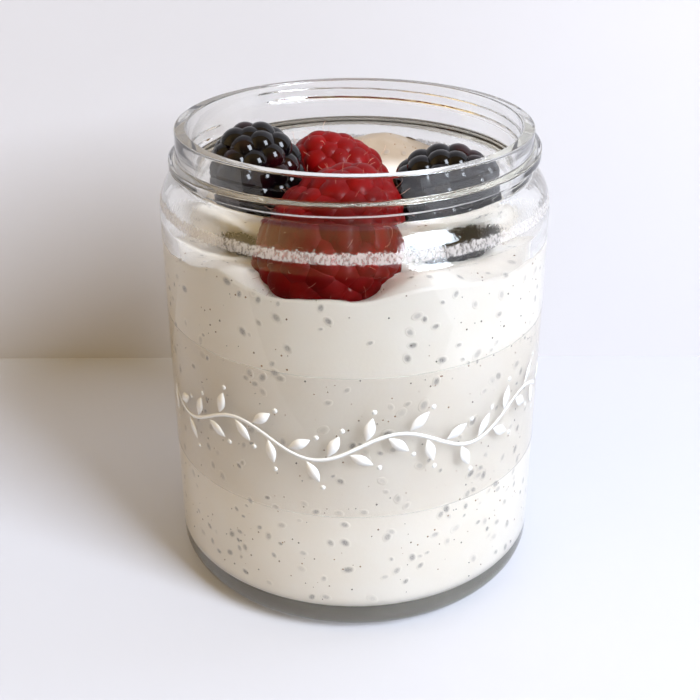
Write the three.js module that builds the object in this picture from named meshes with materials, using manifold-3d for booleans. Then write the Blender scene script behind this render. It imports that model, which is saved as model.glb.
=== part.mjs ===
// A straight-sided glass jar of chia pudding, topped with two raspberries and two dark berries.
// Millimetres, +Z up, with the origin at the centre of the jar's foot.
import * as THREE from 'three';
import { mergeVertices } from 'three/addons/utils/BufferGeometryUtils.js';
import Module from 'manifold-3d';

const wasm = await Module();
wasm.setup();

// ---------------------------------------------------------------- driving dimensions

const CLEARANCE = 0.3; // gap kept between pieces that touch
const SIDES = 52; // facets round the jar

const jar = {
  radius: 36.5,
  height: 89.5,
  wall: 2.9,
  baseThickness: 4.8,
  footInner: 28.5,
  footOuter: 31.2,
  pushUp: 1.4, // how far the middle of the foot is raised
  pushUpSlope: 5, // width of the slope between the foot's ring and its raised middle
  innerHeel: 3.2,
  shoulderStart: 74.3, // height where the straight body ends
  shoulderRun: 5.0,
  shoulderRise: 7.5,
  shoulderTurn: 72, // degrees of the shoulder's arc, which the neck cuts off
  neckRadius: 32.9,
  neckFoot: 81.65,
  throatRadius: 30.2,
  mouthRadius: 30.65, // the bore flares a little from the throat to the lip
  throatBottom: 72.6, // the body's cavity narrows to the throat between these heights
  throatTop: 80.6,
  throatSteps: 4,
  lipCorner: 0.35,
};

const thread = {
  crestRadius: 34.3,
  width: 2.7,
  upperFlank: 0.42,
  lowerFlank: 0.8,
  pitch: 4.23,
  frontTop: 85.4, // height of the bead's upper root at the front, -Y
  startAngle: -215,
  endAngle: 130,
  runOut: 12, // degrees over which each end sinks into the neck
  sink: 1.5,
  rooted: 0.6, // how deep the bead's section reaches into the neck
  steps: 64,
};

const film = { bottom: 27.0, top: 55.4, thickness: 0.15, gap: 0.1, seamDegrees: 4 };

const pudding = {
  level: 69.3, // height of the surface where it meets the front of the glass
  sideBottom: 66, // below this height the side doesn't follow the surface
  sideRows: 5,
  rings: 7,
  throatMargin: 1.5, // the side draws in this far below the narrowing of the glass
};

// The spooned surface: each lump or dip has its middle, its height and its two half-widths.
const lumps = [
  { x: 6, y: 28, rise: 9.6, across: 13, along: 9 },
  { x: 11, y: -26, rise: 3.6, across: 5, along: 5 },
  { x: -19, y: -23, rise: 2.6, across: 5, along: 5 },
  { x: -22, y: 12, rise: 2.8, across: 9, along: 9 },
  { x: 24, y: 8, rise: 1.6, across: 7, along: 9 },
  { x: 0, y: 0, rise: 2.2, across: 12, along: 10 },
  { x: -4, y: -26.5, rise: -3.4, across: 9, along: 3.6 },
];

// Berries: the middle, the way the tip points, the sizes over the drupelets, their pitch and
// radius, and how much wider the berry is at its open end than at its tip.
const berries = [
  {
    name: 'raspberry_front', colour: 0x8e0a10, middle: [-3.9, -18.3, 72.5], tip: [0.52, 0.45, 0.72],
    width: 24, length: 31, pitch: 4.1, ball: 3.69, taper: 0.12,
  },
  {
    name: 'raspberry_back', colour: 0x960c12, middle: [-3.2, 11.0, 74.3], tip: [-0.61, -0.06, 0.79],
    width: 18.6, length: 22.4, pitch: 3.9, ball: 3.32, taper: 0.24,
  },
  {
    name: 'dark_berry_left', colour: 0x0f0b12, middle: [-18.2, -1.8, 79.2], tip: [-0.1, -0.2, 0.97],
    width: 18.8, length: 21.5, pitch: 4.5, ball: 2.88, taper: 0.04,
  },
  {
    name: 'dark_berry_right', colour: 0x0f0b12, middle: [16.8, -4.6, 76.8], tip: [0.98, -0.07, 0.2],
    width: 18.8, length: 22, pitch: 4.5, ball: 2.88, taper: 0.07,
  },
];
const BERRY_DETAIL = 8; // how often each edge of an icosahedron is split for a berry's skin
const HOLLOW_DETAIL = 4;
const RING_SPACING = 0.9; // distance between rings of drupelets, in pitches
const CORE_DEPTH = 0.9; // depth of the smooth core under the drupelets, in their radii
const TURN_SCATTER = 0.22; // unevenness of the drupelets: along a ring, in their spacing
const HEIGHT_SCATTER = 0.7;
const SIZE_SCATTER = 0.12; // of a drupelet's radius
const UNEVENNESS = 0.6; // how far the largest drupelets stand out of the berry's outline

// ---------------------------------------------------------------- shared geometry tools

// A closed three.js geometry as a solid: corners merged, and slivers on the axis dropped.
function solidOf(geometry) {
  geometry.deleteAttribute('normal');
  geometry.deleteAttribute('uv');
  const merged = mergeVertices(geometry, 1e-4);
  const corners = merged.index.array;
  const triVerts = [];
  for (let i = 0; i < corners.length; i += 3) {
    const [a, b, c] = [corners[i], corners[i + 1], corners[i + 2]];
    if (a !== b && b !== c && c !== a) triVerts.push(a, b, c);
  }
  return new wasm.Manifold(new wasm.Mesh({
    numProp: 3,
    vertProperties: merged.attributes.position.array,
    triVerts: Uint32Array.from(triVerts),
  }));
}

function geometryOf(solid) {
  const mesh = solid.getMesh();
  const geometry = new THREE.BufferGeometry();
  geometry.setAttribute('position', new THREE.BufferAttribute(mesh.vertProperties, 3));
  geometry.setIndex(new THREE.BufferAttribute(mesh.triVerts, 1));
  geometry.computeVertexNormals();
  return geometry;
}

// A quarter or part of an ellipse in the profile plane, from angle to angle in degrees.
function ellipseArc(radius, height, run, rise, from, to, steps) {
  const points = [];
  for (let i = 0; i <= steps; i += 1) {
    const angle = THREE.MathUtils.degToRad(from + (to - from) * i / steps);
    points.push(new THREE.Vector2(radius + run * Math.cos(angle), height + rise * Math.sin(angle)));
  }
  return points;
}

// Turns a profile of (radius, height) points about the vertical axis.
function turned(profile) {
  return new THREE.LatheGeometry(profile, SIDES).rotateX(Math.PI / 2);
}

// ---------------------------------------------------------------- jar

// Radius of the inside of the glass at a height above the heel.
function cavityRadius(height) {
  const cavity = jar.radius - jar.wall;
  const narrowing = THREE.MathUtils.smoothstep(height, jar.throatBottom, jar.throatTop);
  const flare = THREE.MathUtils.clamp((height - jar.throatTop) / (jar.height - jar.throatTop), 0, 1);
  const drawnIn = (cavity - jar.throatRadius) * narrowing;
  return cavity - drawnIn + (jar.mouthRadius - jar.throatRadius) * flare;
}

// The inside of the glass from the middle of the floor up to a height, drawn in by an inset.
function cavityProfile(top, inset) {
  const cavity = jar.radius - jar.wall - inset;
  const floor = jar.baseThickness + inset;
  const heel = jar.innerHeel;
  const points = [new THREE.Vector2(0, floor)];
  points.push(...ellipseArc(cavity - heel, floor + heel, heel, heel, -90, 0, 3));
  for (let i = 0; i <= jar.throatSteps; i += 1) {
    const height = jar.throatBottom + (jar.throatTop - jar.throatBottom) * i / jar.throatSteps;
    if (height < top) points.push(new THREE.Vector2(cavityRadius(height) - inset, height));
  }
  return points;
}

function glassProfile() {
  const heel = jar.radius - jar.footOuter;
  const corner = jar.lipCorner;
  const lip = jar.height - corner;
  const shoulderMiddle = jar.radius - jar.shoulderRun;
  const shoulder = [shoulderMiddle, jar.shoulderStart, jar.shoulderRun, jar.shoulderRise];
  const outside = [
    new THREE.Vector2(0, jar.pushUp),
    new THREE.Vector2(jar.footInner - jar.pushUpSlope, jar.pushUp),
    new THREE.Vector2(jar.footInner, 0),
    ...ellipseArc(jar.footOuter, heel, heel, heel, -90, 0, 4),
    ...ellipseArc(...shoulder, 0, jar.shoulderTurn, 6),
    new THREE.Vector2(jar.neckRadius, jar.neckFoot),
    ...ellipseArc(jar.neckRadius - corner, lip, corner, corner, 0, 90, 2),
    ...ellipseArc(jar.mouthRadius + corner, lip, corner, corner, 90, 180, 2),
  ];
  const inside = cavityProfile(jar.height, 0).reverse();
  return [...outside, ...inside];
}

// The bead's upper root round the neck; at each end it sinks into the neck and so fades out.
class ThreadPath extends THREE.Curve {
  getPoint(t, target = new THREE.Vector3()) {
    const angle = thread.startAngle + (thread.endAngle - thread.startAngle) * t;
    const toEnd = Math.min(angle - thread.startAngle, thread.endAngle - angle);
    const fade = THREE.MathUtils.smoothstep(toEnd, 0, thread.runOut);
    const radius = jar.neckRadius - thread.sink * (1 - fade);
    const turn = THREE.MathUtils.degToRad(angle);
    const height = thread.frontTop + thread.pitch * (angle + 90) / 360;
    return target.set(radius * Math.cos(turn), radius * Math.sin(turn), height);
  }
}

function threadGeometry() {
  const crest = thread.crestRadius - jar.neckRadius;
  // Extruded along the path, the section's x runs down the neck and its y towards the axis.
  const section = new THREE.Shape([
    new THREE.Vector2(0, thread.rooted),
    new THREE.Vector2(0, 0),
    new THREE.Vector2(thread.upperFlank, -crest),
    new THREE.Vector2(thread.width - thread.lowerFlank, -crest),
    new THREE.Vector2(thread.width, 0),
    new THREE.Vector2(thread.width, thread.rooted),
  ]);
  return new THREE.ExtrudeGeometry(section, {
    extrudePath: new ThreadPath(), steps: thread.steps,
  });
}

function jarGeometry() {
  return geometryOf(solidOf(turned(glassProfile())).add(solidOf(threadGeometry())));
}

// ---------------------------------------------------------------- clear film band

function filmGeometry() {
  const inner = jar.radius + film.gap;
  const outer = inner + film.thickness;
  const half = THREE.MathUtils.degToRad(film.seamDegrees) / 2;
  const seam = Math.PI / 2; // the ends of the film meet at the back
  const band = new THREE.Shape();
  band.absarc(0, 0, outer, seam + half, seam - half + 2 * Math.PI, false);
  band.absarc(0, 0, inner, seam - half + 2 * Math.PI, seam + half, true);
  band.closePath();
  const geometry = new THREE.ExtrudeGeometry(band, {
    depth: film.top - film.bottom, bevelEnabled: false, curveSegments: SIDES / 2,
  });
  return geometry.translate(0, 0, film.bottom);
}

// ---------------------------------------------------------------- berries

// A repeatable random number from 0 to 1 for a whole number.
function chance(n) {
  const value = Math.sin(n * 12.9898 + 4.1414) * 43758.5453;
  return value - Math.floor(value);
}

// The small round drupelets, in rings from the tip down to the open end, as balls.
function drupelets(berry) {
  const across = berry.width / 2 - berry.ball;
  const along = berry.length / 2 - berry.ball;
  const stepAngle = berry.pitch * RING_SPACING / ((berry.width + berry.length) / 4);
  const balls = [];
  for (let ring = 0; ring * stepAngle < Math.PI - stepAngle * 0.4; ring += 1) {
    const fromTip = ring * stepAngle;
    const sweep = Math.sin(fromTip) * (1 - berry.taper * Math.cos(fromTip));
    const count = Math.max(1, Math.round(Math.PI * berry.width * sweep / berry.pitch));
    for (let i = 0; i < count; i += 1) {
      const seed = balls.length + berry.width * 7;
      const scatter = TURN_SCATTER * (chance(seed) - 0.5);
      const turn = 2 * Math.PI * (i + ring * 0.5 + scatter) / count;
      const shift = HEIGHT_SCATTER * (chance(seed + 50) - 0.5);
      const middle = new THREE.Vector3(Math.cos(turn), Math.sin(turn), 0).multiplyScalar(across * sweep);
      middle.z = along * Math.cos(fromTip) + shift;
      const radius = berry.ball * (1 + SIZE_SCATTER * (chance(seed + 100) - 0.5));
      balls.push({ middle, radius });
    }
  }
  return balls;
}

// How far the berry reaches from its middle along a direction: the furthest ball, or the core.
function berryReach(direction, balls, core) {
  let reach = core;
  for (const ball of balls) {
    const along = direction.dot(ball.middle);
    const inside = ball.radius ** 2 - ball.middle.lengthSq() + along ** 2;
    if (inside > 0) reach = Math.max(reach, along + Math.sqrt(inside));
  }
  return reach;
}

function berryGeometry(berry) {
  const balls = drupelets(berry);
  const core = berry.width / 2 - berry.ball * CORE_DEPTH;
  const geometry = new THREE.IcosahedronGeometry(1, BERRY_DETAIL);
  const positions = geometry.attributes.position;
  const point = new THREE.Vector3();
  for (let i = 0; i < positions.count; i += 1) {
    point.fromBufferAttribute(positions, i).normalize();
    point.multiplyScalar(berryReach(point, balls, core));
    positions.setXYZ(i, point.x, point.y, point.z);
  }
  return geometryOf(solidOf(geometry));
}

// The smooth hollow that a berry presses into the pudding, in the berry's own frame.
function berryHollow(berry) {
  const margin = UNEVENNESS + CLEARANCE;
  const along = berry.length / 2 + margin;
  const geometry = new THREE.IcosahedronGeometry(1, HOLLOW_DETAIL);
  const positions = geometry.attributes.position;
  for (let i = 0; i < positions.count; i += 1) {
    const z = positions.getZ(i);
    const reach = (berry.width / 2 - berry.ball) * (1 - berry.taper * z) + berry.ball + margin;
    positions.setXYZ(i, positions.getX(i) * reach, positions.getY(i) * reach, z * along);
  }
  return geometry;
}

function placeBerry(object, berry) {
  const tip = new THREE.Vector3(...berry.tip).normalize();
  object.quaternion.setFromUnitVectors(new THREE.Vector3(0, 0, 1), tip);
  object.position.set(...berry.middle);
  object.updateMatrixWorld();
}

// ---------------------------------------------------------------- pudding

function surfaceHeight(x, y) {
  let height = pudding.level;
  for (const lump of lumps) {
    const spread = ((x - lump.x) / lump.across) ** 2 + ((y - lump.y) / lump.along) ** 2;
    height += lump.rise * Math.exp(-spread / 2);
  }
  return height;
}

function puddingGeometry() {
  const profile = cavityProfile(pudding.sideBottom + 1, CLEARANCE);
  const edge = jar.radius - jar.wall - CLEARANCE;
  for (let i = 0; i <= pudding.sideRows; i += 1) {
    const height = pudding.sideBottom + (pudding.level - pudding.sideBottom) * i / pudding.sideRows;
    profile.push(new THREE.Vector2(edge, height));
  }
  for (let ring = pudding.rings - 1; ring >= 0; ring -= 1) {
    profile.push(new THREE.Vector2(edge * ring / pudding.rings, pudding.level));
  }
  const geometry = turned(profile);
  const positions = geometry.attributes.position;
  for (let i = 0; i < positions.count; i += 1) {
    const [x, y, z] = [positions.getX(i), positions.getY(i), positions.getZ(i)];
    const share = (z - pudding.sideBottom) / (pudding.level - pudding.sideBottom);
    const height = z + THREE.MathUtils.clamp(share, 0, 1) * (surfaceHeight(x, y) - pudding.level);
    const reach = Math.hypot(x, y);
    const limit = cavityRadius(height + pudding.throatMargin) - CLEARANCE;
    const scale = reach > limit ? limit / reach : 1;
    positions.setXYZ(i, x * scale, y * scale, height);
  }
  let solid = solidOf(geometry);
  for (const berry of berries) {
    const hollow = new THREE.Mesh(berryHollow(berry));
    placeBerry(hollow, berry);
    solid = solid.subtract(solidOf(hollow.geometry.applyMatrix4(hollow.matrixWorld)));
  }
  return geometryOf(solid);
}

// ---------------------------------------------------------------- the object

function piece(name, geometry, material) {
  const mesh = new THREE.Mesh(geometry, new THREE.MeshStandardMaterial(material));
  mesh.name = name;
  return mesh;
}

const group = new THREE.Group();
group.add(piece('jar', jarGeometry(), {
  color: 0xe6ebe8, roughness: 0.03, metalness: 0, transparent: true, opacity: 0.3,
}));
group.add(piece('label_film', filmGeometry(), {
  color: 0xf2f2f0, roughness: 0.3, metalness: 0, transparent: true, opacity: 0.2,
}));
group.add(piece('pudding', puddingGeometry(), { color: 0xe3dacb, roughness: 0.55, metalness: 0 }));
for (const berry of berries) {
  const mesh = piece(berry.name, berryGeometry(berry), {
    color: berry.colour, roughness: 0.3, metalness: 0,
  });
  placeBerry(mesh, berry);
  group.add(mesh);
}

export default group;
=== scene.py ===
import math

import bpy
from mathutils import Matrix, Vector, noise


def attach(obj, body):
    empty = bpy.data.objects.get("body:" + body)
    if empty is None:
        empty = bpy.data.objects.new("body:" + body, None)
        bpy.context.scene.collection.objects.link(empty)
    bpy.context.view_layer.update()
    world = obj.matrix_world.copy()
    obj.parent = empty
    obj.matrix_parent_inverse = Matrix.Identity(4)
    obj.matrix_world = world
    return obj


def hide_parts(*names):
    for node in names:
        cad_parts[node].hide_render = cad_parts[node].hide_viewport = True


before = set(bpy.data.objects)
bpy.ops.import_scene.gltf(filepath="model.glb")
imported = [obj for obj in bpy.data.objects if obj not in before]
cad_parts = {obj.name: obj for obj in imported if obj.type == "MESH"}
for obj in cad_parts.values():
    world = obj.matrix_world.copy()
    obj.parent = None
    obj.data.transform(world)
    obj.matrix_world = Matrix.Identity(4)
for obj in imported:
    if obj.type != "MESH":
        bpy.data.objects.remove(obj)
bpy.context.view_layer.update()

# ------------------------------------------------------------------------------------ jar
# The jar is one piece of clear pressed glass: a thick foot, straight sides, a round shoulder and
# a neck with one turn of screw bead. It comes hot out of a two-part mould, so its skin is faintly
# rippled, grained like frost round the shoulder, and its foot stands on a ring of small ribs.
MM = 0.001

JAR_RADIUS = 36.5
JAR_HEIGHT = 89.5
WALL = 2.9
BASE_THICKNESS = 4.8
FOOT_INNER = 28.5
FOOT_OUTER = 31.2
PUSH_UP = 1.4
INNER_HEEL = 3.2
SHOULDER_START = 74.3
SHOULDER_RUN = 5.0
SHOULDER_RISE = 7.5
NECK_RADIUS = 32.9
NECK_FOOT = 81.65
THROAT_RADIUS = 30.2
MOUTH_RADIUS = 30.65
THROAT_BOTTOM = 72.6
THROAT_TOP = 80.6
LIP_CORNER = 0.35
WALL_TOP = JAR_HEIGHT - LIP_CORNER - 0.2  # the last row of the walls, under the lip's corners
SHOULDER_TURN = 72.0  # degrees of the shoulder's ellipse, up to where the neck cuts it off
PUSH_UP_RUN = 5.0  # over which the raised middle of the foot comes down to its ring
FOOT_RIBS = 60
RIB_DEPTH = 0.3
RIB_FLANK = (0.45, 0.8)  # shares of the ribs' wave between which a groove deepens

THREAD_CREST = 34.3
THREAD_TOP = 85.4  # height of the bead's upper root at the front, -Y
THREAD_WIDTH = 2.7
THREAD_UPPER_FLANK = 0.42
THREAD_LOWER_FLANK = 0.8
THREAD_PITCH = 4.23
THREAD_START = -215.0
THREAD_END = 130.0
THREAD_RUN_OUT = 12.0

FROST_BOTTOM = 75.8
FROST_TOP = 78.0
FROST_RADIUS = 34.6  # the frost lies on the outside of the shoulder only
FROST_EDGE = 0.3  # over which it comes in from below and from inside
FROST_FADE = 0.5  # over which it fades out above
FROST_WANDER = 0.9
FROST_SHARE = 0.7
STREAKED = (75.0, 80.0)  # heights of the streaks in the shoulder's skin
DIMPLED = (79.0, 87.0)  # and of the dimples in the neck's
SKIN_FADE = 1.0
RIPPLE_DEPTH = 0.35  # shares of the skin's relief
STREAK_DEPTH = 0.14
DIMPLE_DEPTH = 0.05
GLASS_CLEAR = (0.985, 0.985, 0.98, 1)
GLASS_FROST = (0.46, 0.43, 0.41, 1)
GLASS_TINT = (0.42, 0.44, 0.3, 1)
GLASS_DENSITY = 15.0

JAR_SEGMENTS = 240
SIDE_STEP = 8.0  # between rows of the mesh, as in the next three
NECK_STEP = 0.12
THROAT_STEP = 0.14
MOUTH_STEP = 0.8
OUTSIDE_ROWS = (12.0, 68.0)  # heights of the straight sides' first and last rows
INSIDE_ROWS = (14.0, THROAT_BOTTOM - 1)


def smoothstep(low, high, value):
    t = min(max((value - low) / (high - low), 0.0), 1.0)
    return t * t * (3 - 2 * t)


def ellipse_arc(radius, height, run, rise, start, end, steps):
    """Points of an ellipse's arc in the profile plane, its angles in degrees."""
    turns = [math.radians(start + (end - start) * i / steps) for i in range(steps + 1)]
    return [(radius + run * math.cos(t), height + rise * math.sin(t)) for t in turns]


def rows(low, high, step):
    """Heights up a wall, about a step apart."""
    count = max(1, round((high - low) / step))
    return [low + (high - low) * i / count for i in range(count + 1)]


def cavity_radius(height):
    """Radius of the inside of the glass, which narrows to the throat and flares at the mouth."""
    if height > THROAT_TOP:
        share = (height - THROAT_TOP) / (JAR_HEIGHT - THROAT_TOP)
        return THROAT_RADIUS + (MOUTH_RADIUS - THROAT_RADIUS) * share
    cavity = JAR_RADIUS - WALL
    return cavity + (THROAT_RADIUS - cavity) * smoothstep(THROAT_BOTTOM, THROAT_TOP, height)


def cavity_profile(inset):
    """The inside of the glass from the middle of the floor to the lip, drawn in by an inset."""
    cavity = JAR_RADIUS - WALL - inset
    floor = BASE_THICKNESS + inset
    points = [(0.0, floor), (cavity * 0.45, floor)]
    points += ellipse_arc(cavity - INNER_HEEL, floor + INNER_HEEL, INNER_HEEL, INNER_HEEL, -90, 0, 10)
    points += [(cavity, z) for z in rows(*INSIDE_ROWS, SIDE_STEP)]
    heights = rows(THROAT_BOTTOM, THROAT_TOP, THROAT_STEP)
    heights += rows(THROAT_TOP + MOUTH_STEP / 2, WALL_TOP, MOUTH_STEP)
    return points + [(cavity_radius(z) - inset, z) for z in heights]


def glass_profile():
    """The outside of the glass from the middle of the foot to the inner corner of the lip."""
    heel = JAR_RADIUS - FOOT_OUTER
    shoulder_middle = JAR_RADIUS - SHOULDER_RUN
    outside = [(0.0, PUSH_UP), (12.0, PUSH_UP), (FOOT_INNER - PUSH_UP_RUN, PUSH_UP)]
    outside += [(FOOT_INNER - PUSH_UP_RUN / 2, PUSH_UP * 0.6), (FOOT_INNER, 0.0)]
    outside += [((FOOT_INNER + FOOT_OUTER) / 2, 0.0)]
    outside += ellipse_arc(FOOT_OUTER, heel, heel, heel, -90, 0, 20)
    outside += [(JAR_RADIUS, z) for z in rows(*OUTSIDE_ROWS, SIDE_STEP)]
    outside += ellipse_arc(shoulder_middle, SHOULDER_START, SHOULDER_RUN, SHOULDER_RISE,
                           0, SHOULDER_TURN, 34)
    outside += [(NECK_RADIUS, z) for z in rows(NECK_FOOT, WALL_TOP, NECK_STEP)]
    corner = (LIP_CORNER, LIP_CORNER)
    outside += ellipse_arc(NECK_RADIUS - LIP_CORNER, JAR_HEIGHT - LIP_CORNER, *corner, 0, 90, 8)
    outside += ellipse_arc(MOUTH_RADIUS + LIP_CORNER, JAR_HEIGHT - LIP_CORNER, *corner, 90, 180, 8)
    return outside


def bead_rise(turn, height):
    """How far the screw bead stands out of the neck at a turn in degrees."""
    for angle in (turn - 360, turn):
        if THREAD_START < angle < THREAD_END:
            below_root = THREAD_TOP + THREAD_PITCH * (angle + 90) / 360 - height
            if 0 < below_root < THREAD_WIDTH:
                flank = min(below_root / THREAD_UPPER_FLANK,
                            (THREAD_WIDTH - below_root) / THREAD_LOWER_FLANK, 1)
                to_end = min(angle - THREAD_START, THREAD_END - angle)
                return (THREAD_CREST - NECK_RADIUS) * smoothstep(0, THREAD_RUN_OUT, to_end) * flank
    return 0.0


def glass_point(radius, height, turn):
    """Puts a point of the glass's outside on the screw bead, or between the ribs of the foot."""
    if height < 0.01 and radius > FOOT_INNER + 0.1:
        rib = 0.5 + 0.5 * math.cos(turn * FOOT_RIBS)
        return radius, height + RIB_DEPTH * smoothstep(*RIB_FLANK, rib)
    if radius < NECK_RADIUS - 0.01 or height < NECK_FOOT - 1:
        return radius, height
    return radius + bead_rise((math.degrees(turn) + 180) % 360 - 180, height), height


def mesh_piece(name, points, faces, smooth=True):
    """An object at the origin whose mesh has its place in it, from points in millimetres."""
    mesh = bpy.data.meshes.new(name)
    mesh.from_pydata([Vector(p) * MM for p in points], [], faces)
    mesh.polygons.foreach_set("use_smooth", [smooth] * len(mesh.polygons))
    mesh.update()
    piece = bpy.data.objects.new(name, mesh)
    bpy.context.scene.collection.objects.link(piece)
    return piece


def revolved(name, profile, segments, place):
    """A closed skin from a profile that starts and ends on the axis, turned about it."""
    points = [(0.0, 0.0, profile[0][1])]
    faces = []
    rings = profile[1:-1]
    for radius, height in rings:
        for i in range(segments):
            turn = 2 * math.pi * i / segments
            r, z = place(radius, height, turn)
            points.append((r * math.cos(turn), r * math.sin(turn), z))
    points.append((0.0, 0.0, profile[-1][1]))
    last = len(points) - 1
    for i in range(segments):
        j = (i + 1) % segments
        faces.append((0, 1 + j, 1 + i))
        for ring in range(len(rings) - 1):
            low = 1 + ring * segments
            high = low + segments
            faces.append((low + i, low + j, high + j, high + i))
        top = 1 + (len(rings) - 1) * segments
        faces.append((last, top + i, top + j))
    return mesh_piece(name, points, faces)


class Socket:
    """A node's output, so that sums on values are written as Python expressions."""

    def __init__(self, tree, output=None):
        self.tree = tree
        self.output = output

    def node(self, kind, settings=None, inputs=None, output=0):
        """Adds any node: first its settings, then the values or links of its sockets."""
        made = self.tree.nodes.new(kind)
        for name, value in (settings or {}).items():
            setattr(made, name, value)
        for key, value in (inputs or {}).items():
            if isinstance(value, Socket):
                self.tree.links.new(value.output, made.inputs[key])
            else:
                made.inputs[key].default_value = value
        return Socket(self.tree, made.outputs[output] if made.outputs else None)

    def math(self, operation, *values):
        """A sum that has no operator of its own, with this value as its first."""
        return self.node("ShaderNodeMath", {"operation": operation}, dict(enumerate((self, *values))))

    def __add__(self, other):
        return self.math("ADD", other)

    __radd__ = __add__

    def __sub__(self, other):
        return self.math("SUBTRACT", other)

    def __rsub__(self, other):
        return (self * -1) + other

    def __mul__(self, other):
        return self.math("MULTIPLY", other)

    __rmul__ = __mul__

    def __truediv__(self, other):
        return self.math("DIVIDE", other)

    def between(self, low, high):
        """0 below low, 1 above high, and a smooth step between them."""
        return self.node("ShaderNodeMapRange", {"interpolation_type": "SMOOTHSTEP"},
                         {"Value": self, "From Min": low, "From Max": high})

    def within(self, low, high, fade):
        """1 from low to high and 0 beyond them, with smooth edges, all in millimetres."""
        rise = self.between((low - fade) * MM, (low + fade) * MM)
        return rise * (1 - self.between((high - fade) * MM, (high + fade) * MM))

    def tint(self, colour, other):
        """A colour at 0 of this value and another at 1."""
        return self.node("ShaderNodeMix", {"data_type": "RGBA"}, {0: self, 6: colour, 7: other}, output=2)

    def noise(self, place, scale, detail=2.0):
        return self.node("ShaderNodeTexNoise", inputs={"Vector": place, "Scale": scale, "Detail": detail})


def new_finish(name):
    material = bpy.data.materials.new(name)
    material.use_nodes = True
    material.node_tree.nodes.clear()
    return material, Socket(material.node_tree)


def object_place(tree):
    """The surface point in the object's own metres, and its height."""
    place = tree.node("ShaderNodeTexCoord", output="Object")
    height = tree.node("ShaderNodeSeparateXYZ", inputs={0: place}, output="Z")
    return place, height


def close_finish(tree, shader):
    tree.node("ShaderNodeOutputMaterial", inputs={"Surface": shader})


def glass_finish():
    material, tree = new_finish("jar_glass")
    place, height = object_place(tree)
    streaked = height.within(*STREAKED, SKIN_FADE)
    dimpled = height.within(*DIMPLED, SKIN_FADE)
    stretched = tree.node("ShaderNodeMapping", inputs={"Vector": place, "Scale": (1, 1, 0.6)})
    streaks = tree.noise(stretched, 2200)
    dimples = tree.noise(place, 1100, 1)
    ripple = tree.noise(place, 45, 0)
    skin = ripple * RIPPLE_DEPTH + streaks * streaked * STREAK_DEPTH + dimples * dimpled * DIMPLE_DEPTH
    bump = tree.node("ShaderNodeBump", inputs={"Height": skin, "Distance": 0.2 * MM, "Strength": 0.5})
    clear = tree.node("ShaderNodeBsdfPrincipled", inputs={
        "Base Color": GLASS_CLEAR, "Roughness": 0.0, "IOR": 1.5,
        "Transmission Weight": 1.0, "Normal": bump})
    grain = tree.node("ShaderNodeBsdfPrincipled", inputs={
        "Base Color": GLASS_FROST, "Roughness": 0.3, "Normal": bump})
    wander = (tree.noise(place, 1600, 3) - 0.5) * FROST_WANDER * MM
    band = (height + wander).between(FROST_BOTTOM * MM, (FROST_BOTTOM + FROST_EDGE) * MM)
    band = band * (1 - (height + wander * 2).between((FROST_TOP - FROST_FADE) * MM, FROST_TOP * MM))
    level = tree.node("ShaderNodeVectorMath", {"operation": "MULTIPLY"}, {0: place, 1: (1, 1, 0)})
    radius = tree.node("ShaderNodeVectorMath", {"operation": "LENGTH"}, {0: level}, output="Value")
    outside = radius.between((FROST_RADIUS - FROST_EDGE) * MM, FROST_RADIUS * MM)
    speckle = 0.45 + 0.55 * streaks.between(0.35, 0.6)
    share = band * outside * speckle * FROST_SHARE
    frosted = tree.node("ShaderNodeMixShader", inputs={0: share, 1: clear, 2: grain})
    tint = tree.node("ShaderNodeVolumeAbsorption", inputs={"Color": GLASS_TINT, "Density": GLASS_DENSITY})
    tree.node("ShaderNodeOutputMaterial", inputs={"Surface": frosted, "Volume": tint})
    return material


jar = revolved("jar_glass", glass_profile() + cavity_profile(0)[::-1], JAR_SEGMENTS, glass_point)
jar.data.materials.append(glass_finish())
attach(jar, "root")
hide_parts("jar")

# -------------------------------------------------------------------------------- pudding
# Chia seeds swollen in cream and yoghurt, spooned into the jar. It wets the glass all round, and
# its top is left in soft spooned lumps that rise to the throat at the back.
PUDDING_LEVEL = 69.3
PUDDING_REACH = 0.25  # into the glass, so that no gap of air shows
LUMPY_FROM = 58.0  # below this height the pudding is as plain as the cavity
LUMPY_STEP = 0.8
TOP_RINGS = 70
PUDDING_SEGMENTS = 240
LUMPS = [  # middle x and y, rise, and half-widths along x and y
    (6, 28, 9.6, 13, 9),
    (11, -26, 3.6, 5, 5),
    (-19, -23, 2.6, 5, 5),
    (-22, 12, 2.8, 9, 9),
    (24, 8, 1.6, 7, 9),
    (0, 0, 2.2, 12, 10),
    (-4, -26.5, -3.4, 9, 3.6),
]
FOLD_RISE = 0.7
FOLD_ACROSS = 7.0
FINE_RISE = 0.22
FINE_ACROSS = 2.2
FOLD_SINK = 0.3  # the folded top lies this much under the CAD's, on the whole
CREAM = (0.95, 0.895, 0.82, 1)
CREAM_PALE = (0.965, 0.925, 0.87, 1)
# painted shade: a darker cream for the top of the high lump at the back
CREAM_PAINTED_SHADE = (0.36, 0.285, 0.21, 1)
PAINTED_SHADE_FROM = 73.5  # above this height the cream is painted darker, as painted shade on the high lump at the back
PAINTED_SHADE_FADE = 3.0
CREAM_ROUGHNESS = 0.4
CREAM_WETNESS = 0.25


def surface_height(x, y):
    """The top of the pudding as the CAD has it."""
    height = PUDDING_LEVEL
    for lump_x, lump_y, rise, across, along in LUMPS:
        spread = ((x - lump_x) / across) ** 2 + ((y - lump_y) / along) ** 2
        height += rise * math.exp(-spread / 2)
    return height


def spooned_height(x, y):
    """The CAD surface with the finer folds that a spoon leaves."""
    fold = noise.noise(Vector((x / FOLD_ACROSS, y / FOLD_ACROSS, 3.1)))
    fine = noise.noise(Vector((x / FINE_ACROSS, y / FINE_ACROSS, 8.4)))
    return surface_height(x, y) + FOLD_RISE * fold + FINE_RISE * fine - FOLD_SINK


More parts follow.
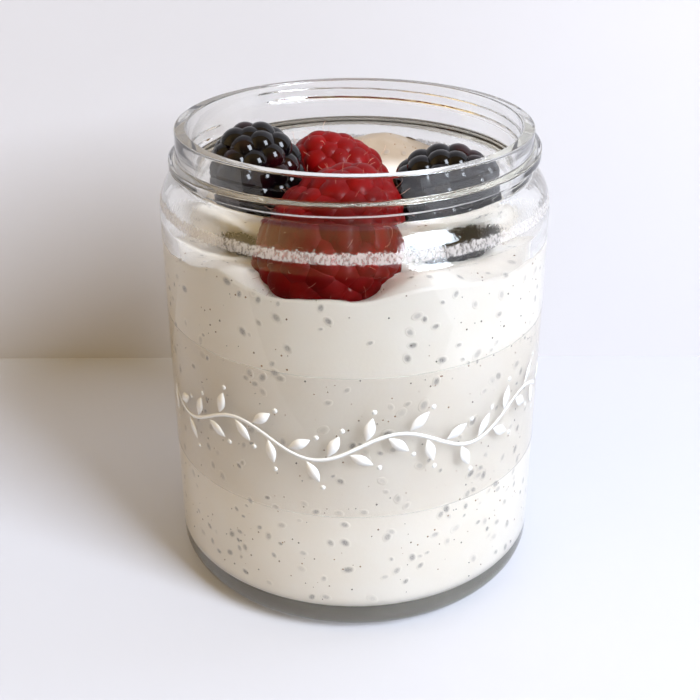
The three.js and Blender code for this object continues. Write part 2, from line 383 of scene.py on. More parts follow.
def pudding_point(radius, height, turn):
    """Lifts a point of the upper pudding with the lumps, and keeps it inside the glass."""
    share = min(max((height - LUMPY_FROM) / (PUDDING_LEVEL - LUMPY_FROM), 0.0), 1.0)
    if share:
        x = radius * math.cos(turn)
        y = radius * math.sin(turn)
        height += share * (spooned_height(x, y) - PUDDING_LEVEL)
        radius = min(radius, cavity_radius(height) + PUDDING_REACH)
    return radius, height


def pudding_profile():
    edge = JAR_RADIUS - WALL + PUDDING_REACH
    profile = [p for p in cavity_profile(-PUDDING_REACH) if p[1] < LUMPY_FROM]
    profile += [(edge, z) for z in rows(LUMPY_FROM, PUDDING_LEVEL, LUMPY_STEP)]
    profile += [(edge * i / TOP_RINGS, PUDDING_LEVEL) for i in range(TOP_RINGS - 1, 0, -1)]
    return profile + [(0.0, spooned_height(0, 0))]


def cream_colour_and_shade(tree):
    place, height = object_place(tree)
    cloud = tree.noise(place, 90, 3).between(0.35, 0.7)
    # painted shade: the cream is painted darker above a height, on the high lump at the back
    painted_shade = height.between(PAINTED_SHADE_FROM * MM, (PAINTED_SHADE_FROM + PAINTED_SHADE_FADE) * MM)
    return painted_shade.tint(cloud.tint(CREAM, CREAM_PALE), CREAM_PAINTED_SHADE)


def pudding_finish():
    material, tree = new_finish("pudding_cream")
    place, _ = object_place(tree)
    grain = tree.noise(place, 1500, 2)
    bump = tree.node("ShaderNodeBump", inputs={"Height": grain, "Distance": 0.1 * MM, "Strength": 0.25})
    shader = tree.node("ShaderNodeBsdfPrincipled", inputs={
        "Base Color": cream_colour_and_shade(tree), "Roughness": CREAM_ROUGHNESS, "Coat Weight": CREAM_WETNESS,
        "Coat Roughness": 0.15, "Normal": bump})
    close_finish(tree, shader)
    return material


pudding = revolved("pudding_cream", pudding_profile(), PUDDING_SEGMENTS, pudding_point)
pudding.data.materials.append(pudding_finish())
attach(pudding, "root")
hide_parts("pudding")

# ----------------------------------------------------------------------------- chia seeds
# Swollen chia seeds lie just under the skin of the cream and shade through it as soft, mottled
# grey blots. They crowd where the spoon pushed them together, and none lie at the very bottom.
SEED_LENGTH = 2.4
SEED_WIDTH = 1.75
SEED_DEPTH = 0.08
SEED_PROUD = 0.02
SEED_APART = 1.25
SEED_DENSITY = 140000.0
SEED_GRADES = (0.5, 1.15)  # from the smallest to the largest, as shares of the full size
SEED_CLEARNESS = (0.2, 1.0)  # from the deepest in the cream to the nearest
SEED_SHARES = (0.1, 0.55)  # of the density: everywhere, and more where the seeds crowd
SEEDED_FROM = 5.5  # heights at which the seeds begin and are at their thickest
SEEDED_FULL = 9.0
CROWD_SCALE = 130.0
CROWD_EDGES = (0.42, 0.62)
SEED_DARK = (0.24, 0.225, 0.22, 1)


def node_group(name, named_inputs):
    """A Geometry Nodes tree with a geometry input and output and named inputs for its sizes."""
    group = bpy.data.node_groups.new(name, "GeometryNodeTree")
    group.interface.new_socket("Geometry", in_out="INPUT", socket_type="NodeSocketGeometry")
    for label, kind in named_inputs:
        group.interface.new_socket(label, in_out="INPUT", socket_type=kind)
    group.interface.new_socket("Geometry", in_out="OUTPUT", socket_type="NodeSocketGeometry")
    tree = Socket(group)
    source = group.nodes.new("NodeGroupInput")
    return tree, {socket.name: Socket(group, socket) for socket in source.outputs if socket.name}


def close_group(tree, geometry, finish):
    """Ends a tree: real faces, shaded smooth, in their finish."""
    real = tree.node("GeometryNodeRealizeInstances", inputs={"Geometry": geometry})
    smooth = tree.node("GeometryNodeSetShadeSmooth", inputs={"Geometry": real})
    covered = tree.node("GeometryNodeSetMaterial", inputs={"Geometry": smooth, "Material": finish})
    tree.node("NodeGroupOutput", inputs={"Geometry": covered})
    return tree.tree


def grown(name, source_mesh, group, values):
    """Runs a Geometry Nodes tree on a mesh and keeps the result as a plain piece."""
    grower = bpy.data.objects.new(name + "_grower", source_mesh)
    bpy.context.scene.collection.objects.link(grower)
    modifier = grower.modifiers.new("grow", "NODES")
    modifier.node_group = group
    for item in group.interface.items_tree:
        if item.in_out == "INPUT" and item.name in values:
            modifier[item.identifier] = values[item.name]
    bpy.context.view_layer.update()
    ready = grower.evaluated_get(bpy.context.evaluated_depsgraph_get())
    mesh = bpy.data.meshes.new_from_object(ready)
    mesh.name = name
    grower.modifiers.clear()
    bpy.data.objects.remove(grower)
    piece = bpy.data.objects.new(name, mesh)
    bpy.context.scene.collection.objects.link(piece)
    return piece


def random_from(tree, low, high, seed):
    """A random number for each point or instance."""
    return tree.node("FunctionNodeRandomValue", {"data_type": "FLOAT"}, {2: low, 3: high, "Seed": seed},
                     output=1)


def spun(tree, rotation, seed):
    """A rotation with a random turn about its own z axis before it."""
    turn = random_from(tree, 0.0, 2 * math.pi, seed)
    spin = tree.node("FunctionNodeAxisAngleToRotation", inputs={"Axis": (0, 0, 1), "Angle": turn})
    return tree.node("FunctionNodeRotateRotation", {"rotation_space": "LOCAL"}, {
        "Rotation": rotation, "Rotate By": spin})


def crowding(tree, everywhere, crowded):
    """How thickly the seeds lie: a share everywhere, and more where they crowd."""
    where = tree.node("GeometryNodeInputPosition")
    crowd = tree.noise(where, CROWD_SCALE, 1).between(*CROWD_EDGES)
    height = tree.node("ShaderNodeSeparateXYZ", inputs={0: where}, output="Z")
    return (everywhere + crowd * crowded) * height.between(SEEDED_FROM * MM, SEEDED_FULL * MM)


def seed_finish():
    """Dark in the middle of a seed, and the cream's own colour at its edge and where it is deep."""
    material, tree = new_finish("seed_in_cream")
    place, _ = object_place(tree)
    rim = tree.node("ShaderNodeAttribute", {"attribute_name": "rim"}, output="Fac")
    clear = tree.node("ShaderNodeAttribute", {"attribute_name": "clear"}, output="Fac")
    mottle = tree.noise(place, 5200, 2).between(0.4, 0.62)
    soft = 1 - rim.between(0.25, 0.9)
    shade = soft * clear * (0.6 + mottle * 0.4)
    shader = tree.node("ShaderNodeBsdfPrincipled", inputs={
        "Base Color": shade.tint(cream_colour_and_shade(tree), SEED_DARK), "Roughness": CREAM_ROUGHNESS,
        "Coat Weight": CREAM_WETNESS, "Coat Roughness": 0.15})
    close_finish(tree, shader)
    return material


def seed_group():
    """Flat seeds strewn over the cream's skin, each turned at random and sunk almost flush."""
    tree, given = node_group("scatter_seeds", [
        ("Apart", "NodeSocketFloat"), ("Density", "NodeSocketFloat"), ("Length", "NodeSocketFloat"),
        ("Width", "NodeSocketFloat"), ("Depth", "NodeSocketFloat"), ("Proud", "NodeSocketFloat"),
        ("Seed", "NodeSocketInt")])
    scatter = tree.node("GeometryNodeDistributePointsOnFaces", {"distribute_method": "POISSON"}, {
        "Mesh": given["Geometry"], "Distance Min": given["Apart"], "Density Max": given["Density"],
        "Density Factor": crowding(tree, *SEED_SHARES), "Seed": given["Seed"]}, output="Points")
    rotation = Socket(tree.tree, scatter.output.node.outputs["Rotation"])
    ball = tree.node("GeometryNodeMeshUVSphere", inputs={"Segments": 12, "Rings": 8, "Radius": 0.5})
    local = tree.node("GeometryNodeInputPosition")
    flat = tree.node("ShaderNodeVectorMath", {"operation": "MULTIPLY"}, {0: local, 1: (2, 2, 0)})
    off = tree.node("ShaderNodeVectorMath", {"operation": "LENGTH"}, {0: flat}, output="Value")
    marked = tree.node("GeometryNodeStoreNamedAttribute", {"data_type": "FLOAT", "domain": "POINT"}, {
        "Geometry": ball, "Name": "rim", "Value": off})
    grade = random_from(tree, *SEED_GRADES, 5)
    size = tree.node("ShaderNodeCombineXYZ", inputs={
        0: given["Length"] * grade, 1: given["Width"] * grade, 2: given["Depth"]})
    clear = random_from(tree, *SEED_CLEARNESS, 9)
    kept = tree.node("GeometryNodeStoreNamedAttribute", {"data_type": "FLOAT", "domain": "POINT"}, {
        "Geometry": scatter, "Name": "clear", "Value": clear})
    seeds = tree.node("GeometryNodeInstanceOnPoints", inputs={
        "Points": kept, "Instance": marked, "Rotation": spun(tree, rotation, 3), "Scale": size})
    drop = tree.node("ShaderNodeCombineXYZ", inputs={2: given["Proud"] - given["Depth"] * 0.5})
    sunk = tree.node("GeometryNodeTranslateInstances", inputs={
        "Instances": seeds, "Translation": drop, "Local Space": True})
    return close_group(tree, sunk, seed_finish())


seeds = grown("chia_seeds", pudding.data, seed_group(), {
    "Apart": SEED_APART * MM, "Density": SEED_DENSITY, "Length": SEED_LENGTH * MM,
    "Width": SEED_WIDTH * MM, "Depth": SEED_DEPTH * MM, "Proud": SEED_PROUD * MM, "Seed": 4})
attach(seeds, "root")

# ----------------------------------------------------------------------------- seed flecks
# Tiny flecks of dark seed skin and brown vanilla, strewn through the cream where it was stirred
# and densest where the seeds crowd.
FLECK_SIZE = 0.36
FLECK_DENSITY = 110000.0
FLECK_SHARES = (0.2, 0.8)
FLECK_GRADES = (0.35, 1.2)
VANILLA_BROWN = (0.34, 0.19, 0.10, 1)
SEED_SKIN = (0.10, 0.08, 0.07, 1)


def fleck_finish():
    material, tree = new_finish("seed_flecks")
    place, _ = object_place(tree)
    shade = tree.noise(place, 400, 1).between(0.4, 0.6)
    shader = tree.node("ShaderNodeBsdfPrincipled", inputs={
        "Base Color": shade.tint(VANILLA_BROWN, SEED_SKIN), "Roughness": 0.5})
    close_finish(tree, shader)
    return material


def fleck_group():
    """Small round flecks strewn over the cream's skin, half sunk in it."""
    tree, given = node_group("strew_flecks", [
        ("Density", "NodeSocketFloat"), ("Size", "NodeSocketFloat"), ("Seed", "NodeSocketInt")])
    density = given["Density"] * crowding(tree, *FLECK_SHARES)
    scatter = tree.node("GeometryNodeDistributePointsOnFaces", {"distribute_method": "RANDOM"}, {
        "Mesh": given["Geometry"], "Density": density, "Seed": given["Seed"]})
    fleck = tree.node("GeometryNodeMeshIcoSphere", inputs={"Radius": 0.5, "Subdivisions": 1})
    flecks = tree.node("GeometryNodeInstanceOnPoints", inputs={
        "Points": scatter, "Instance": fleck,
        "Scale": random_from(tree, *FLECK_GRADES, 5) * given["Size"]})
    return close_group(tree, flecks, fleck_finish())


flecks = grown("seed_flecks", pudding.data, fleck_group(), {
    "Density": FLECK_DENSITY, "Size": FLECK_SIZE * MM, "Seed": 2})
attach(flecks, "root")

# ---------------------------------------------------------------------------- raspberries
# Two ripe raspberries. Each is a cluster of small juicy drupelets in rings round a hollow cone,
# and every drupelet keeps the dried hair of its flower.
RASPBERRIES = {  # middle, tip, width, length, drupelet pitch, taper, drupelet radius in pitches
    "raspberry_front": ((-3.9, -18.3, 72.5), (0.52, 0.45, 0.72), 24.0, 31, 4.1, 0.12, 0.9),
    "raspberry_back": ((-3.2, 11.0, 74.3), (-0.61, -0.06, 0.79), 18.6, 22.4, 3.9, 0.24, 0.85),
}
RING_APART = 0.9  # between rings of drupelets, in pitches
TURN_SHUFFLE = 0.22  # range over which a drupelet strays round its ring, in pitches
ALONG_SHUFFLE = 0.7  # and along the berry, in millimetres
BALL_SPREAD = 0.12  # between the smallest and the largest drupelet, as a share of its radius
CORE_INSET = 0.9  # how deep the core lies under the outline, in drupelet radii
BALL_SEGMENTS = 28
BALL_RINGS = 18
HAIR_LENGTH = 1.9
HAIR_THICKNESS = 0.05
HAIR_GRADES = (0.5, 1.1)
RASPBERRY_DEEP = (0.125, 0.0003, 0.0006, 1)
RASPBERRY_BRIGHT = (0.18, 0.0006, 0.0008, 1)
HAIR_BROWN = (0.42, 0.16, 0.10, 1)
HAIR_STRAW = (0.65, 0.40, 0.28, 1)


def chance(n):
    """A random number from 0 to 1 that is always the same for the same n."""
    value = math.sin(n * 12.9898 + 4.1414) * 43758.5453
    return value - math.floor(value)


def drupelets(width, length, pitch, taper, ball_share):
    """The middle, outward direction and radius of each drupelet, in rings from the tip down."""
    size = pitch * ball_share
    across = width / 2
    along = length / 2
    step_angle = pitch * RING_APART / ((across + along) / 2)
    balls = []
    ring = 0
    while ring * step_angle < math.pi - step_angle * 0.4:
        from_tip = ring * step_angle
        sweep = math.sin(from_tip) * (1 - taper * math.cos(from_tip))
        count = max(1, int(2 * math.pi * across * sweep / pitch + 0.5))
        for i in range(count):
            seed = len(balls) + width * 7
            turn = 2 * math.pi * (i + ring * 0.5 + TURN_SHUFFLE * (chance(seed) - 0.5)) / count
            out = Vector((sweep * math.cos(turn), sweep * math.sin(turn), math.cos(from_tip)))
            shift = ALONG_SHUFFLE * (chance(seed + 50) - 0.5)
            middle = Vector((out.x * (across - size), out.y * (across - size),
                             out.z * (along - size) + shift))
            ripeness = 1 - BALL_SPREAD / 2 + BALL_SPREAD * chance(seed + 100)
            balls.append((middle, out, size * ripeness))
        ring += 1
    return balls


def berry_placing(middle, tip):
    """Carries a berry that stands upright at the origin to its middle, with its tip turned."""
    turn = Vector((0, 0, 1)).rotation_difference(Vector(tip).normalized())
    return Matrix.Translation(middle) @ turn.to_matrix().to_4x4()


def berry_seat(name, middle, tip, width, length, pitch, taper, ball_share):
    """A mesh of one point for each drupelet and one for the core, with their radii and directions."""
    placing = berry_placing(middle, tip)
    balls = drupelets(width, length, pitch, taper, ball_share)
    core = width / 2 - pitch * ball_share * CORE_INSET
    mesh = bpy.data.meshes.new(name + "_seat")
    mesh.from_pydata([placing @ ball[0] * MM for ball in balls] + [Vector(middle) * MM], [], [])
    sizes = mesh.attributes.new("ball", "FLOAT", "POINT")
    sizes.data.foreach_set("value", [ball[2] * MM for ball in balls] + [core * MM])
    outs = mesh.attributes.new("out", "FLOAT_VECTOR", "POINT")
    for i, ball in enumerate(balls):
        outs.data[i].vector = (placing.to_3x3() @ ball[1]).normalized()
    return mesh


def drupelet_seats(tree):
    """The radius and outward direction at each point, and the rotation that faces outwards."""
    size = tree.node("GeometryNodeInputNamedAttribute", {"data_type": "FLOAT"}, {"Name": "ball"})
    out = tree.node("GeometryNodeInputNamedAttribute", {"data_type": "FLOAT_VECTOR"}, {"Name": "out"})
    facing = tree.node("FunctionNodeAlignRotationToVector", {"axis": "Z"}, {"Vector": out})
    return size, out, facing


def berry_group(name, finish):
    """A ball on each point: small faces at the pole that looks outwards."""
    tree, given = node_group(name, [("Segments", "NodeSocketInt"), ("Rings", "NodeSocketInt")])
    ball = tree.node("GeometryNodeMeshUVSphere", inputs={
        "Segments": given["Segments"], "Rings": given["Rings"], "Radius": 1.0})
    size, _, facing = drupelet_seats(tree)
    balls = tree.node("GeometryNodeInstanceOnPoints", inputs={
        "Points": given["Geometry"], "Instance": ball, "Rotation": facing, "Scale": size})
    return close_group(tree, balls, finish)


def hair_group(finish):
    """One bent hair on the top of each drupelet."""
    tree, given = node_group("drupelet_hairs", [
        ("Length", "NodeSocketFloat"), ("Thickness", "NodeSocketFloat")])
    bent = tree.node("GeometryNodeCurveQuadraticBezier", inputs={
        "Resolution": 6, "Start": (0, 0, 0), "Middle": (0.05, 0, 0.6), "End": (0.5, 0, 0.95)})
    ring = tree.node("GeometryNodeCurvePrimitiveCircle", inputs={
        "Resolution": 4, "Radius": given["Thickness"] / given["Length"] * 0.5})
    hair = tree.node("GeometryNodeCurveToMesh", inputs={
        "Curve": bent, "Profile Curve": ring, "Fill Caps": True})
    size, out, facing = drupelet_seats(tree)
    grade = random_from(tree, *HAIR_GRADES, 8)
    rooted = tree.node("ShaderNodeVectorMath", {"operation": "SCALE"}, {0: out, "Scale": size})
    tops = tree.node("GeometryNodeSetPosition", inputs={
        "Geometry": given["Geometry"], "Offset": rooted})
    hairs = tree.node("GeometryNodeInstanceOnPoints", inputs={
        "Points": tops, "Instance": hair, "Rotation": spun(tree, facing, 7),
        "Scale": grade * given["Length"]})
    return close_group(tree, hairs, finish)


def raspberry_finish():
    material, tree = new_finish("raspberry_red")
    place, _ = object_place(tree)
    blush = tree.noise(place, 240, 2).between(0.35, 0.7)
    bloom = tree.noise(place, 2600, 2)
    bump = tree.node("ShaderNodeBump", inputs={"Height": bloom, "Distance": 0.1 * MM, "Strength": 0.15})
    shader = tree.node("ShaderNodeBsdfPrincipled", inputs={
        "Base Color": blush.tint(RASPBERRY_DEEP, RASPBERRY_BRIGHT), "Roughness": 0.5,
        "Specular IOR Level": 0.09, "Coat Weight": 0.06, "Coat Roughness": 0.1, "Normal": bump})
    close_finish(tree, shader)
    return material


def hair_finish():
    material, tree = new_finish("drupelet_hair")
    place, _ = object_place(tree)
    tone = tree.noise(place, 500, 1).between(0.4, 0.6)
    shader = tree.node("ShaderNodeBsdfPrincipled", inputs={
        "Base Color": tone.tint(HAIR_BROWN, HAIR_STRAW), "Roughness": 0.45})
    close_finish(tree, shader)
    return material


ball_faces = {"Segments": BALL_SEGMENTS, "Rings": BALL_RINGS}
raspberry_balls = berry_group("raspberry_drupelets", raspberry_finish())
raspberry_hairs = hair_group(hair_finish())
for node, sizes in RASPBERRIES.items():
    seat = berry_seat(node, *sizes)
    berry = grown(node + "_drupelets", seat, raspberry_balls, ball_faces)
    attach(berry, "root")
    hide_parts(node)
    hairs = grown(node + "_hairs", seat, raspberry_hairs, {
        "Length": HAIR_LENGTH * MM, "Thickness": HAIR_THICKNESS * MM})
    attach(hairs, "root")

# --------------------------------------------------------------------------- dark berries
# Two dark bramble berries: fewer and larger drupelets than the raspberries, tight and shining,
# almost black, with a touch of wine red where the skin is thin.
DARK_BERRIES = {  # middle, tip, width, length, drupelet pitch, taper, drupelet radius in pitches
    "dark_berry_left": ((-18.2, -1.8, 79.2), (-0.1, -0.2, 0.97), 18.8, 21.5, 4.5, 0.04, 0.64),
    "dark_berry_right": ((16.8, -4.6, 76.8), (0.98, -0.07, 0.2), 18.8, 22, 4.5, 0.07, 0.64),
}
DARK_SKIN = (0.0015, 0.001, 0.0015, 1)
WINE_RED = (0.012, 0.001, 0.0015, 1)


def dark_berry_finish():
    material, tree = new_finish("dark_berry_skin")
    place, _ = object_place(tree)
    blush = tree.noise(place, 160, 1).between(0.55, 0.75)
    bloom = tree.noise(place, 1800, 2)
    bump = tree.node("ShaderNodeBump", inputs={"Height": bloom, "Distance": 0.05 * MM, "Strength": 0.25})
    shader = tree.node("ShaderNodeBsdfPrincipled", inputs={
        "Base Color": blush.tint(DARK_SKIN, WINE_RED), "Roughness": 0.1, "Specular IOR Level": 0.25,
        "Normal": bump})
    close_finish(tree, shader)
    return material


dark_balls = berry_group("dark_berry_drupelets", dark_berry_finish())
for node, sizes in DARK_BERRIES.items():
    seat = berry_seat(node, *sizes)
    berry = grown(node + "_drupelets", seat, dark_balls, ball_faces)
    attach(berry, "root")
    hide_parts(node)

# ----------------------------------------------------------------------------- label film
# A clear satin film wrapped once round the body and stuck to the glass. It greys the pudding
# behind it a little, and its cut edges catch the light as two fine lines.
FILM_BOTTOM = 27.0
FILM_TOP = 55.4
FILM_OUTER = 36.56
FILM_INNER = 36.44  # under the skin of the glass, so that no gap of air shows
FILM_EDGE = 0.3
FILM_CLEAR = (0.985, 0.98, 0.975, 1)
FILM_VEIL = (0.55, 0.53, 0.50, 1)
VEIL_SHARE = 0.04  # of the grey veil all over, and what the cut edges add
EDGE_SHARE = 0.16


def film_piece():
    """A closed band of four faces to a segment: under, outside, top and inside."""
    ends = [(FILM_INNER, FILM_BOTTOM), (FILM_OUTER, FILM_BOTTOM)]
    ends += [(FILM_OUTER, FILM_TOP), (FILM_INNER, FILM_TOP)]
    points = []
    faces = []
    for i in range(JAR_SEGMENTS):
        turn = 2 * math.pi * i / JAR_SEGMENTS
        points += [(r * math.cos(turn), r * math.sin(turn), z) for r, z in ends]
        here = 4 * i
        there = 4 * ((i + 1) % JAR_SEGMENTS)
        for k in range(4):
            after = (k + 1) % 4
            faces.append((here + k, there + k, there + after, here + after))
    return mesh_piece("label_film_band", points, faces, smooth=False)


def film_finish():
    material, tree = new_finish("label_film")
    _, height = object_place(tree)
    low_edge = 1 - height.between(FILM_BOTTOM * MM, (FILM_BOTTOM + FILM_EDGE) * MM)
    high_edge = height.between((FILM_TOP - FILM_EDGE) * MM, FILM_TOP * MM)
    veil = tree.node("ShaderNodeBsdfPrincipled", inputs={
        "Base Color": FILM_VEIL, "Roughness": 0.25})
    clear = tree.node("ShaderNodeBsdfTransparent", inputs={"Color": FILM_CLEAR})
    share = VEIL_SHARE + EDGE_SHARE * (low_edge + high_edge)
    close_finish(tree, tree.node("ShaderNodeMixShader", inputs={0: share, 1: clear, 2: veil}))
    return material


film = film_piece()
film.data.materials.append(film_finish())
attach(film, "root")
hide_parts("label_film")

# --------------------------------------------------------------------------- printed garland
# A plain white garland printed round the front of the film: a wavy stem with leaves to both
# sides and a dot beyond each leaf, in one thin layer of satin ink.
GARLAND_HEIGHT = 41.5
GARLAND_LENGTH = 90.0  # along the film, centred at the front
GARLAND_WAVE = 30.0
GARLAND_SWING = 2.6
GARLAND_STROKE = 0.7
LEAF_APART = 3.75
LEAF_LENGTH = 5.4
LEAF_WIDTH = 2.0
LEAF_SLANT = 52.0
LEAF_FOOT = 0.12  # where a leaf starts and its dot lies, in leaf lengths from the stem
DOT_PLACE = 1.22
LEAF_TIP = 0.03  # width of a leaf's ends, as a share of its middle
STEM_STEP = 0.1  # between the points of the stem, in leaf spacings
DOT_SIZE = 0.95
INK_THICKNESS = 0.02
INK_WHITE = (0.68, 0.68, 0.67, 1)


def ink_finish():
    material, tree = new_finish("garland_ink")
    shader = tree.node("ShaderNodeBsdfPrincipled", inputs={
        "Base Color": INK_WHITE, "Roughness": 0.4})
    close_finish(tree, shader)
    return material


def garland_group():
    """Draws the garland flat, x along the film and y up, and wraps it round the film."""
    tree, given = node_group("garland", [
        ("Length", "NodeSocketFloat"), ("Height", "NodeSocketFloat"), ("Radius", "NodeSocketFloat"),
        ("Wave", "NodeSocketFloat"), ("Swing", "NodeSocketFloat"), ("Stroke", "NodeSocketFloat"),
        ("Apart", "NodeSocketFloat"), ("Leaf", "NodeSocketFloat"), ("Breadth", "NodeSocketFloat"),
        ("Slant", "NodeSocketFloat"), ("Dot", "NodeSocketFloat"), ("Ink", "NodeSocketFloat")])

    def along(place, axis):
        return tree.node("ShaderNodeSeparateXYZ", inputs={0: place}, output=axis)

    def vector(x, y, z=0.0):
        return tree.node("ShaderNodeCombineXYZ", inputs={0: x, 1: y, 2: z})

    def joined(first, second):
        join = tree.node("GeometryNodeJoinGeometry", inputs={0: first})
        tree.tree.links.new(second.output, join.output.node.inputs[0])
        return join

    def strip(curve, width, swell=1.0):
        flat = tree.node("GeometryNodeCurvePrimitiveQuadrilateral", inputs={
            "Width": width, "Height": given["Ink"]})
        return tree.node("GeometryNodeCurveToMesh", inputs={
            "Curve": curve, "Profile Curve": flat, "Scale": swell, "Fill Caps": True})

    where = tree.node("GeometryNodeInputPosition")
    line = tree.node("GeometryNodeCurvePrimitiveLine", inputs={
        "Start": vector(given["Length"] * -0.5, 0.0), "End": vector(given["Length"] * 0.5, 0.0)})
    fine = tree.node("GeometryNodeResampleCurve", {"mode": "LENGTH"}, {
        "Curve": line, "Length": given["Apart"] * STEM_STEP})
    swing = (along(where, "X") / given["Wave"] * (2 * math.pi)).math("SINE") * given["Swing"]
    wavy = tree.node("GeometryNodeSetPosition", inputs={
        "Geometry": fine, "Offset": vector(0.0, swing)})
    stem = strip(wavy, given["Stroke"])
    buds = tree.node("GeometryNodeResampleCurve", {"mode": "LENGTH"}, {
        "Curve": wavy, "Length": given["Apart"]})
    side = tree.node("GeometryNodeInputIndex").math("MODULO", 2) * 2 - 1
    tangent = tree.node("GeometryNodeInputTangent")
    climb = along(tangent, "Y").math("ARCTAN2", along(tangent, "X"))
    heading = vector(0.0, 0.0, climb + side * given["Slant"])
    rib = tree.node("GeometryNodeCurvePrimitiveLine", inputs={
        "Start": vector(given["Leaf"] * LEAF_FOOT, 0.0), "End": vector(given["Leaf"], 0.0)})
    rib = tree.node("GeometryNodeResampleCurve", inputs={"Curve": rib, "Count": 15})
    far = tree.node("GeometryNodeSplineParameter")
    swell = (far * math.pi).math("SINE") * (1 - LEAF_TIP) + LEAF_TIP
    leaf = strip(rib, given["Breadth"], swell)
    dot = tree.node("GeometryNodeMeshCylinder", inputs={
        "Vertices": 20, "Radius": given["Dot"] * 0.5, "Depth": given["Ink"]})
    dot = tree.node("GeometryNodeTransform", inputs={
        "Geometry": dot, "Translation": vector(given["Leaf"] * DOT_PLACE, 0.0)})
    sprays = tree.node("GeometryNodeInstanceOnPoints", inputs={
        "Points": buds, "Instance": joined(leaf, dot), "Rotation": heading})
    real = tree.node("GeometryNodeRealizeInstances", inputs={"Geometry": joined(stem, sprays)})
    turn = along(where, "X") / given["Radius"]
    reach = given["Radius"] + along(where, "Z")
    wrapped = vector(reach * turn.math("SINE"), reach * turn.math("COSINE") * -1,
                     along(where, "Y") + given["Height"])
    placed = tree.node("GeometryNodeSetPosition", inputs={"Geometry": real, "Position": wrapped})
    return close_group(tree, placed, ink_finish())


garland = grown("garland_print", bpy.data.meshes.new("garland_seat"), garland_group(), {
    "Length": GARLAND_LENGTH * MM, "Height": GARLAND_HEIGHT * MM,
    "Radius": (FILM_OUTER + INK_THICKNESS) * MM, "Wave": GARLAND_WAVE * MM,
    "Swing": GARLAND_SWING * MM, "Stroke": GARLAND_STROKE * MM, "Apart": LEAF_APART * MM,
    "Leaf": LEAF_LENGTH * MM, "Breadth": LEAF_WIDTH * MM, "Slant": math.radians(LEAF_SLANT),
    "Dot": DOT_SIZE * MM, "Ink": INK_THICKNESS * MM})
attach(garland, "root")

# ------------------------------------------------------------------ table, light and camera
# A pale table and wall in soft daylight from one broad window at the front right, in a dim, warm
# room that is lighter at the left and overhead. The camera looks down on the jar from the front.
CAMERA_PLACE = (-0.94, -206.6, 147.1)
CAMERA_PITCH = 26.89
CAMERA_ROLL = -0.19
FOCAL_PIXELS = 1147.0
PICTURE_WIDTH = 700
SENSOR = 36.0
WALL_DISTANCE = 79.0
WALL_HEIGHT = 1500.0
REACH = 2000.0  # of the table and the wall to each side
SHADED_FROM = -100.0  # in front of this, and left of the next, the glass doesn't mirror the
SHADED_RIGHT = 130.0  # table, because the photographer shades it
TABLE_TONE = (0.51, 0.52, 0.565)
WALL_TONE = (0.525, 0.515, 0.535)
ROOM_DIM = (0.085, 0.060, 0.025, 1)
ROOM_CEILING = (0.24, 0.171, 0.077, 1)
ROOM_LEFT = (0.41, 0.29, 0.13, 1)
BELOW_TABLE = (0, 0, 0, 1)
CEILING_EDGE = (0.5, 0.95)  # the upward part of a direction, where the ceiling comes in
HORIZON_EDGE = (-0.05, 0.02)  # and where the room ends below
LEFT_EDGE = (-0.8, -0.35)  # its rightward part, where the left side ends
WINDOW_AZIMUTH = -42.0
WINDOW_ELEVATION = 34.0
WINDOW_DISTANCE = 1400.0
WINDOW_SIZE = (560.0, 830.0)
WINDOW_AIM = 50.0  # height on the jar's axis that the window faces
WINDOW_POWER = 12.2
WINDOW_COLOUR = (0.80, 0.88, 1.0)
EXPOSURE = 1.84


def plain_finish(name, colour, see_through_behind=False):
    """A matt finish. The wall's is see-through from behind, so that it doesn't hide the jar."""
    material, tree = new_finish(name)
    shader = tree.node("ShaderNodeBsdfPrincipled", inputs={"Base Color": (*colour, 1), "Roughness": 0.6})
    if see_through_behind:
        behind = tree.node("ShaderNodeNewGeometry", output="Backfacing")
        clear = tree.node("ShaderNodeBsdfTransparent")
        shader = tree.node("ShaderNodeMixShader", inputs={0: behind, 1: shader, 2: clear})
    close_finish(tree, shader)
    return material


def floor_piece(name, *spans):
    """A stretch of the table, made of rectangles from low x and y to high x and y."""
    points = []
    for x0, y0, x1, y1 in spans:
        points += [(x0, y0, 0), (x1, y0, 0), (x1, y1, 0), (x0, y1, 0)]
    faces = [tuple(range(4 * i, 4 * i + 4)) for i in range(len(spans))]
    return mesh_piece(name, points, faces, smooth=False)


table = plain_finish("pale_table", TABLE_TONE)
floor = floor_piece("floor", (-REACH, SHADED_FROM, REACH, REACH),
                    (SHADED_RIGHT, -REACH, REACH, SHADED_FROM))
floor.data.materials.append(table)
shaded_floor = floor_piece("floor_by_photographer", (-REACH, -REACH, SHADED_RIGHT, SHADED_FROM))
shaded_floor.data.materials.append(table)
shaded_floor.visible_glossy = False
shaded_floor.visible_transmission = False
wall = mesh_piece("backdrop", [(-REACH, WALL_DISTANCE, 0), (REACH, WALL_DISTANCE, 0),
                               (REACH, WALL_DISTANCE, WALL_HEIGHT), (-REACH, WALL_DISTANCE, WALL_HEIGHT)],
                  [(0, 1, 2, 3)], smooth=False)
wall.data.materials.append(plain_finish("pale_wall", WALL_TONE, see_through_behind=True))

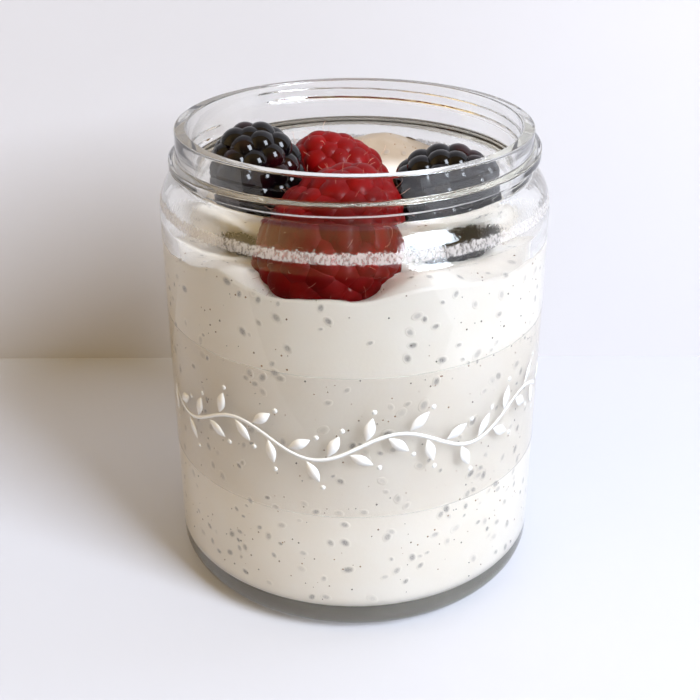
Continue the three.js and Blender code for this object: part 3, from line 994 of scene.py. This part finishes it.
world = bpy.data.worlds.new("dim_room")
world.use_nodes = True
world.node_tree.nodes.clear()
room = Socket(world.node_tree)
direction = room.node("ShaderNodeTexCoord", output="Generated")
upward = room.node("ShaderNodeSeparateXYZ", inputs={0: direction}, output="Z")
rightward = room.node("ShaderNodeSeparateXYZ", inputs={0: direction}, output="X")
overhead = upward.between(*CEILING_EDGE).tint(ROOM_DIM, ROOM_CEILING)
sides = (1 - rightward.between(*LEFT_EDGE)).tint(overhead, ROOM_LEFT)
room_tone = upward.between(*HORIZON_EDGE).tint(BELOW_TABLE, sides)
glow = room.node("ShaderNodeBackground", inputs={"Color": room_tone})
room.node("ShaderNodeOutputWorld", inputs={"Surface": glow})
bpy.context.scene.world = world

daylight = bpy.data.lights.new("window", "AREA")
daylight.shape = "RECTANGLE"
daylight.size, daylight.size_y = (side * MM for side in WINDOW_SIZE)
daylight.energy = WINDOW_POWER
daylight.color = WINDOW_COLOUR
azimuth = math.radians(WINDOW_AZIMUTH)
elevation = math.radians(WINDOW_ELEVATION)
flat = WINDOW_DISTANCE * math.cos(elevation)
window_place = Vector((flat * math.cos(azimuth), flat * math.sin(azimuth),
                       WINDOW_AIM + WINDOW_DISTANCE * math.sin(elevation)))
facing = (Vector((0, 0, WINDOW_AIM)) - window_place).to_track_quat("-Z", "Y").to_matrix().to_4x4()
window = bpy.data.objects.new("window", daylight)
window.matrix_world = Matrix.Translation(window_place * MM) @ facing
bpy.context.scene.collection.objects.link(window)

lens = bpy.data.cameras.new("camera")
lens.sensor_width = SENSOR
lens.lens = FOCAL_PIXELS * SENSOR / PICTURE_WIDTH
lens.clip_start = 0.01
camera = bpy.data.objects.new("camera", lens)
camera.matrix_world = (Matrix.Translation(Vector(CAMERA_PLACE) * MM)
                       @ Matrix.Rotation(math.radians(90 - CAMERA_PITCH), 4, "X")
                       @ Matrix.Rotation(math.radians(CAMERA_ROLL), 4, "Z"))
bpy.context.scene.collection.objects.link(camera)
bpy.context.scene.camera = camera
bpy.context.scene.view_settings.view_transform = "Standard"
bpy.context.scene.view_settings.exposure = EXPOSURE
